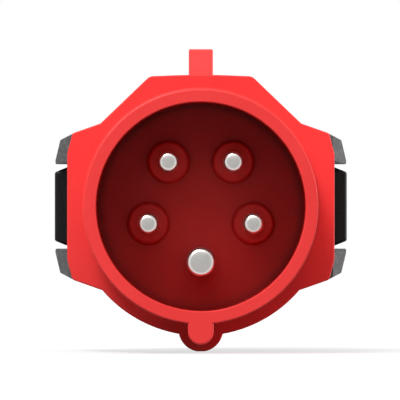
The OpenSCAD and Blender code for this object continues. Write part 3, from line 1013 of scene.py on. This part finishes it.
@dataclass
class Handle:
    """Grey handle: a waisted body with side faces, grips, windows and a threaded neck."""

    front_y: float = 68.3
    body_r: float = 31.31
    waist_r: float = 22.2
    curve_y: float = 84.0
    waist_y: float = 114.0
    wall: float = 2.5
    mouth_r: float = 28.4
    side_x: float = 32.44
    grip_h: float = 3.5
    grip_end: float = 98.0
    draw_in: float = 13.0
    window_x: float = 24.9
    window_y: tuple[float, float] = (75.0, 95.0)
    window_h: float = 10.1
    pocket_x: float = 23.5
    pocket_y: tuple[float, float] = (73.4, 96.6)
    pocket_h: float = 12.2
    groove_y: float = 97.4
    groove_pitch: float = 2.2
    groove_w: float = 1.2
    groove_h: float = 9.0
    rib_y: float = 86.0
    rib_pitch: float = 4.0
    rib_w: float = 1.4
    rib_out: float = 0.5
    neck_r: float = 20.0
    neck_end: float = 129.0
    neck_chamfer: float = 0.9
    thread_pitch: float = 2.0
    thread_h: float = 0.95
    way_r: float = 13.3
    seat_r: float = 16.3
    seat_y: float = 115.5

    def radius(self, y: float) -> float:
        """Outer radius of the turned body at distance y."""
        t = min(1.0, max(0.0, (y - self.curve_y) / (self.waist_y - self.curve_y)))
        return self.waist_r + (self.body_r - self.waist_r) * (1 + math.cos(math.pi * t)) / 2

    def curve(self, depth: float, steps: int) -> list[Point]:
        """The body's waist in profile, at a depth under its surface."""
        return [(self.radius(y) - depth, y) for y in spread(self.curve_y, self.waist_y, steps)]

    def sink(self, y: float) -> float:
        """How far the side faces and grips have sunk towards the waist at distance y."""
        return self.draw_in * smooth((y - self.grip_end) / (self.waist_y - 1 - self.grip_end))

    def drawn_in(self, x: float, z: float, y: float) -> Point:
        """Moves a point of the side faces inwards, and lower once it lies behind the cheek."""
        d = self.sink(y)
        return math.copysign(max(abs(x) - d, 0.0), x), z * (1 - max(0.0, d - 3.2) / 32)

    def fading(self, outline: Sequence[Point], y0: float, edge: float) -> Form:
        """A prism from y0 that sinks into the waist."""
        stations = spread(self.grip_end, self.waist_y, 14)[:-1]
        return Form.along_y(outline, y0, self.waist_y, edge, 0.0, self.drawn_in, stations)

    def grips(self) -> list[Form]:
        """Four grip ribs, one above and one below each button.

        Returns:
            The ribs.
        """
        x, g = self.side_x, self.side_x + self.grip_h
        outline = rounded(
            [(x - 6, 18.8), (x - 0.95, 18.1), (g - 1.2, 16.4), (g, 11.4), (g, 10.4), (x + 0.4, 11.25),
             (x, 11.4), (x - 6, 11.4)],
            [0, 1.0, 0.45, 0.8, 0.25, 0, 0, 0], 5)
        return [
            self.fading([(sx * a, sz * b) for a, b in outline], self.front_y + 0.7, 0.3)
            for sx in (1, -1) for sz in (1, -1)
        ]

    def lead_in(self, side: Side) -> Form:
        """Wedge that slopes the front ends of one side's grips.

        Args:
            side: The side.

        Returns:
            The cutter.
        """
        x, y = self.side_x + 0.2, self.front_y + 0.8
        plan = [(x, y - 3), (x + 8, y - 3), (x + 8, y + 8), (x, y)]
        return Form.along_y(plan, -20, 20, 0.0, 0.0).moved(SWAP_YZ).mirrored(side)

    def neck(self) -> Form:
        """Gland neck with a running thread.

        Returns:
            The neck.
        """
        around, y0 = 64, self.waist_y - 1
        loops = []
        for y in spread(y0, self.neck_end, 76):
            loop = []
            for i in range(around):
                share = ((y - y0) / self.thread_pitch - i / around) % 1.0
                depth = self.thread_h * (1 - smooth(abs(2 * share - 1) * 1.25))
                if y <= y0 + 2.2:
                    depth = 0.0
                if y >= self.neck_end - 0.8:
                    depth = self.neck_chamfer
                r, a = self.neck_r - depth, TAU * i / around
                loop.append(Vector((r * math.cos(a), y, r * math.sin(a))))
            loops.append(loop)
        return Form.from_loops(loops)

    def hollow(self) -> list[Form]:
        """Wiring space and the seat of the seal.

        Returns:
            The cutters.
        """
        way, seat, y1 = self.way_r, self.seat_r, self.seat_y
        return [
            Form.turned([(self.mouth_r, self.front_y - 2), *self.curve(self.wall, 14)]),
            Form.turned([(way, self.waist_y - 2), (way, y1), (seat, y1), (seat, self.neck_end + 2)]),
        ]

    def windows(self) -> list[Form]:
        """Button windows, flange pockets and the grip grooves behind them.

        Returns:
            The cutters.
        """
        made = []
        h, p, g = self.window_h, self.pocket_h, self.groove_h
        for side in Side:
            window = Form.block((self.window_x, self.window_y[0], -h), (40, self.window_y[1], h))
            y0, y1 = self.pocket_y
            pocket = Form.block((self.pocket_x, y0, -p), (self.side_x - 3, y1, p))
            made += [window.mirrored(side), pocket.mirrored(side)]
            for k in range(3):
                y = self.groove_y + self.groove_pitch * k
                x = self.side_x - 0.6 - self.sink(y + self.groove_w / 2)
                outline = rounded([(x, -g), (x + 4.2, -g), (x + 4.2, g), (x, g)], 0.5, 3)
                made.append(Form.along_y(outline, y, y + self.groove_w, 0.35, 0.35).mirrored(side))
        return made

    def finger_ribs(self) -> list[Form]:
        """Low ribs over the top and underside where the hand closes.

        Returns:
            The ribs.
        """
        made = []
        for sz in (1, -1):
            for k in range(5):
                y = self.rib_y + self.rib_pitch * k
                r = self.radius(y) + self.rib_out
                reach = 26.0 - 1.2 * k
                bow = [
                    *arc((0, 0), r, 90 - reach, 90 + reach, 16),
                    *arc((0, 0), r - 3, 90 + reach, 90 - reach, 16),
                ]
                made.append(Form.along_y(bow, y, y + self.rib_w).moved(Matrix.Diagonal((1, 1, sz, 1))))
        return made

    def build(self) -> None:
        """Builds and places the handle."""
        y, r = self.front_y, self.body_r
        body = Form.turned(
            [(r - 0.5, y), (r - 0.15, y + 0.15), (r, y + 0.5), *self.curve(0, 20),
             (self.waist_r - 0.3, self.waist_y + 0.3)], 128)
        x = self.side_x
        outline = both_sides([(22.0, 20.4), (x - 1.33, 17.6), (x, 12.8)], [0, 1.0, 4.0], 5)
        flanks = self.fading(outline, y, 0.4).join(*self.grips()).cut(*[self.lead_in(side) for side in Side])
        body.join(flanks, self.neck(), *self.finger_ribs())
        body.cut(*self.hollow(), *self.windows())
        body.place("handle_body", "plug", "handle_grey", GRIP_GREY, ["handle_shell"])


@dataclass
class ReleaseButton:
    """Black release button in its window, with a flange and a spring pocket inside."""

    side: Side
    centre_y: float = 85.0
    length: float = 19.4
    half_h: float = 9.8
    inner_x: float = 29.44
    side_x: float = 32.44
    face_x: float = 36.14
    flange_t: float = 1.5
    flange_y: float = 1.3
    flange_z: float = 1.4
    pocket_r: float = 4.15
    pocket_depth: float = 4.0
    groove_pitch: float = 3.0
    groove_w: float = 1.3
    groove_depth: float = 0.6

    def build(self) -> None:
        """Builds and places the button."""
        y0, y1 = self.centre_y - self.length / 2, self.centre_y + self.length / 2
        h, x, side_x, inner_x, r = self.half_h, self.face_x, self.side_x, self.inner_x, self.pocket_r
        outline = rounded(
            [(inner_x - 0.5, -h), (side_x + 0.4, -h), (x, -h + 1.3), (x, h - 1.3), (side_x + 0.4, h),
             (inner_x - 0.5, h)],
            [0, 0.6, 0.7, 0.7, 0.6, 0], 6)
        block = Form.along_y(outline, y0, y1, 0.8, 0.8)
        back, tall = inner_x - self.flange_t, h + self.flange_z
        flange = Form.block((back, y0 - self.flange_y, -tall), (inner_x, y1 + self.flange_y, tall), 0.2)
        pocket = Form.turned([(r, back - 1), (r, back + self.pocket_depth)], 40)
        pocket.spun(-90, "Z").shifted((0, self.centre_y, 0))
        low, reach = x - self.groove_depth, h - 2.8
        bar = rounded([(low, -reach), (x + 2, -reach), (x + 2, reach), (low, reach)], [0.5, 0, 0, 0.5], 4)
        grooves = []
        for k in range(-2, 3):
            y = self.centre_y + self.groove_pitch * k
            grooves.append(Form.along_y(bar, y - self.groove_w / 2, y + self.groove_w / 2, 0.35, 0.35))
        word = self.side.name.lower()
        block.join(flange).cut(pocket, *grooves).mirrored(self.side).place(
            f"button_{word}_cap", f"button_{word}", "button_black", BUTTON_BLACK, [f"release_button_{word}"])


@dataclass
class ButtonSpring:
    """Helical spring between the latch frame and a button."""

    side: Side
    centre_y: float = 85.0
    fixed_x: float = 22.5
    seat_x: float = 31.94
    play: float = 0.05
    travel: float = 3.0
    radius: float = 3.3
    wire: float = 0.7
    turns: float = 4.0
    closed: float = 0.75
    steps: int = 24

    def rise(self, turn: float, lead: float) -> float:
        """Distance along the axis after so many turns; the coils at both ends lie closed."""
        loose = min(max(turn - self.closed, 0.0), self.turns)
        return self.wire * (turn - loose) + lead * loose

    def build(self) -> None:
        """Builds and places the spring."""
        length, total = self.seat_x - self.fixed_x, self.turns + 2 * self.closed
        lead = (length - 2 * self.play - self.wire * (1 + 2 * self.closed)) / self.turns
        base = self.fixed_x + self.play + self.wire / 2
        section = arc((0, 0), self.wire / 2, 0, 330, 11)
        loops = []
        for turn in spread(0, total, math.ceil(total * self.steps)):
            a, x, y = TAU * turn, base + self.rise(turn, lead), self.centre_y
            spokes = [(x + along, self.radius + out) for along, out in section]
            loops.append([Vector((x, y + r * math.cos(a), r * math.sin(a))) for x, r in spokes])
        word = self.side.name.lower()
        spring = Form.from_loops(loops).mirrored(self.side).place(
            f"button_{word}_spring", "plug", "spring_steel", STEEL, [f"button_spring_{word}"])
        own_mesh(spring)


@dataclass
class GlandNut:
    """Hexagonal gland nut with grip grooves and a domed rear."""

    y0: float = 115.0
    y1: float = 143.0
    across_flats: float = 48.0
    corner_r: float = 2.2
    dome: tuple[Point, ...] = ((2.6, -7.0), (-0.4, -2.2), (-5.0, 0.0))
    thread_r: float = 20.05
    thread_end: float = 131.0
    seat_r: float = 17.8
    floor_y: float = 137.5
    exit_r: float = 9.5
    groove_r: float = 0.85
    groove_pitch: float = 4.2

    def domed(self) -> Form:
        """Turned envelope: a chamfered front and a rear that curves in, as a quadratic curve.

        Returns:
            The envelope.
        """
        half, y0, y1 = self.across_flats / 2, self.y0, self.y1
        profile = [(half + 0.4, y0), (half + 1.2, y0 + 0.4), (half + 2.6, y0 + 2)]
        for t in spread(0, 1, 12):
            shares = (1 - t) ** 2, 2 * t * (1 - t), t * t
            out, back = (sum(share * point[i] for share, point in zip(shares, self.dome)) for i in (0, 1))
            profile.append((half + out, y1 + back))
        return Form.turned(profile, 128)

    def hole(self) -> Form:
        """Threaded bore, seat of the washer and cable exit.

        Returns:
            The cutter.
        """
        y0, y1, r, seat, out = self.y0, self.y1, self.thread_r, self.seat_r, self.exit_r
        end, floor = self.thread_end, self.floor_y
        return Form.turned(
            [(r + 0.8, y0 - 1), (r + 0.8, y0), (r, y0 + 0.8), (r, end), (seat + 1.2, end), (seat, end + 4),
             (seat, floor), (out, floor), (out, y1 - 2.0), (out + 0.5, y1 - 0.8), (out + 1.6, y1 + 0.5),
             (out + 1.6, y1 + 2)])

    def build(self) -> None:
        """Builds and places the nut."""
        half = self.across_flats / 2
        corners = rounded(arc((0, 0), half / math.cos(math.pi / 6), 0, 300, 5), self.corner_r, 6)
        nut = Form.along_y(corners, self.y0, self.y1, 0.3, 0.3).combine(Cut.KEEP_COMMON, [self.domed()])
        section = arc((0, 0), self.groove_r, 0, 337.5, 15)
        grooves = []
        for face in range(6):
            for s in range(-2, 3):
                bar = Form.along_y(section, self.y0 + 5, self.y1 - 9, 0.6, 0.6)
                grooves.append(bar.shifted((s * self.groove_pitch, 0, -half - 0.25)).spun(60 * face, "Y"))
        nut.cut(self.hole(), *grooves)
        nut.place("gland_nut_cap", "clamp_nut", "nut_grey", GRIP_GREY, ["gland_nut"])


@dataclass
class InnerParts:
    """CAD pieces whose shape is final; they only get their finish."""

    finishes: tuple[tuple[str, Finish], ...] = (
        ("latch_frame", FRAME_BLACK),
        ("body_seal", SEAL_RUBBER),
        ("gland_seal", SEAL_RUBBER),
        ("gland_claw", FRAME_BLACK),
        ("gland_washer", STEEL),
        *((f"screw_{pole.name}", STEEL) for pole in POLES),
    )

    def build(self) -> None:
        """Dresses the CAD nodes."""
        for name, finish in self.finishes:
            finish.put_on(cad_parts[name])
            LOG.info("%s: dressed", name)


# ---------------- studio ----------------


@dataclass(frozen=True)
class Lamp:
    """A square, white area lamp that points at the plug; sizes in metres, power in watts."""

    name: str
    place: tuple[float, float, float]
    size: float
    power: float

    def build(self) -> None:
        """Hangs the lamp and points it at the plug."""
        data = bpy.data.lights.new(self.name, "AREA")
        data.size, data.energy = self.size, self.power
        lamp = add_object(self.name, data)
        lamp.location = self.place
        aim = Vector((0, 0.04, 0)) - Vector(self.place)
        lamp.rotation_euler = aim.to_track_quat("-Z", "Y").to_euler()


@dataclass
class Studio:
    """Pale floor, soft lamps and a camera that looks straight into the sleeve."""

    view_width: float = 0.09716
    centre_x: float = -0.0002
    centre_z: float = 0.0016
    lens: float = 1500.0
    sensor: float = 36.0
    soft_light: tuple[float, float] = (0.32, 0.66)
    floor_size: float = 6.0
    floor_drop: float = 0.0002
    floor_grey: Colour = (0.25, 0.25, 0.25)
    glow_reach: tuple[float, float] = (0.2, 1.2)
    floor_glow: tuple[float, float] = (0.66, 0.88)
    lamps: tuple[Lamp, ...] = (
        Lamp("key_lamp", (-0.38, -0.60, 1.02), size=0.50, power=14.5),
        Lamp("front_lamp", (-0.22, -1.20, 0.84), size=1.10, power=4.8),
        Lamp("side_lamp", (1.30, 0.42, 0.20), size=0.60, power=18.0),
        Lamp("rear_lamp", (-0.55, 1.20, 0.75), size=0.80, power=7.0),
    )

    def camera(self) -> None:
        """A long lens, so that near and far parts keep almost the same scale."""
        data = bpy.data.cameras.new("camera")
        data.lens, data.sensor_width = self.lens, self.sensor
        data.clip_start, data.clip_end = 0.1, 60.0
        camera = add_object("camera", data)
        camera.location = (self.centre_x, -self.lens / self.sensor * self.view_width, self.centre_z)
        camera.rotation_euler = (math.pi / 2, 0, 0)
        bpy.context.scene.camera = camera

    def world(self) -> None:
        """White for the eye, and as light a soft grey that is brighter above."""
        world = bpy.data.worlds.new("world")
        bpy.context.scene.world = world
        world.use_nodes = True
        n = Layout(world.node_tree)
        height = n.node("SeparateXYZ", n.node("TexCoord").outputs["Generated"]).outputs["Z"]
        soft = n.node("Background", WHITE, n.span(height, *self.soft_light)).outputs[0]
        white = n.node("Background", WHITE, 1.0).outputs[0]
        n.node("OutputWorld", n.node("MixShader", n.seen(), soft, white).outputs[0])

    def floor(self) -> None:
        """A large pale floor that keeps the plug's shadow; its glow evens out the lamps."""
        mesh = bmesh.new()
        bmesh.ops.create_grid(mesh, x_segments=4, y_segments=4, size=self.floor_size)
        data = bpy.data.meshes.new("floor")
        mesh.to_mesh(data)
        mesh.free()
        floor = add_object("floor", data)
        floor.location = (0, 0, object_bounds()[0].z - self.floor_drop)
        s = Shader("pale_floor")
        pale = s.node("BsdfDiffuse", self.floor_grey).outputs[0]
        away = s.node("VectorMath", s.place, operation="LENGTH").outputs["Value"]
        even = s.span(s.ramp(away, *self.glow_reach), *self.floor_glow)
        glow = s.node("AddShader", pale, s.node("Emission", WHITE, even).outputs[0]).outputs[0]
        s.end(s.node("MixShader", s.seen(), pale, glow))
        data.materials.append(s.material)
        floor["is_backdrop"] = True

    def build(self) -> None:
        """Sets up the whole studio."""
        bpy.context.scene.view_settings.view_transform = "Standard"
        self.camera()
        self.world()
        self.floor()
        for lamp in self.lamps:
            lamp.build()
        LOG.info("studio: %d lamps", len(self.lamps))


def main() -> None:
    """Builds every sub-assembly, then the studio."""
    logging.basicConfig(level=logging.INFO, format="%(name)s: %(message)s")
    FrontHousing().build()
    ContactSet().build()
    Handle().build()
    for side in Side:
        ReleaseButton(side).build()
        ButtonSpring(side).build()
    GlandNut().build()
    InnerParts().build()
    Studio().build()


if __name__ == "__main__":
    main()
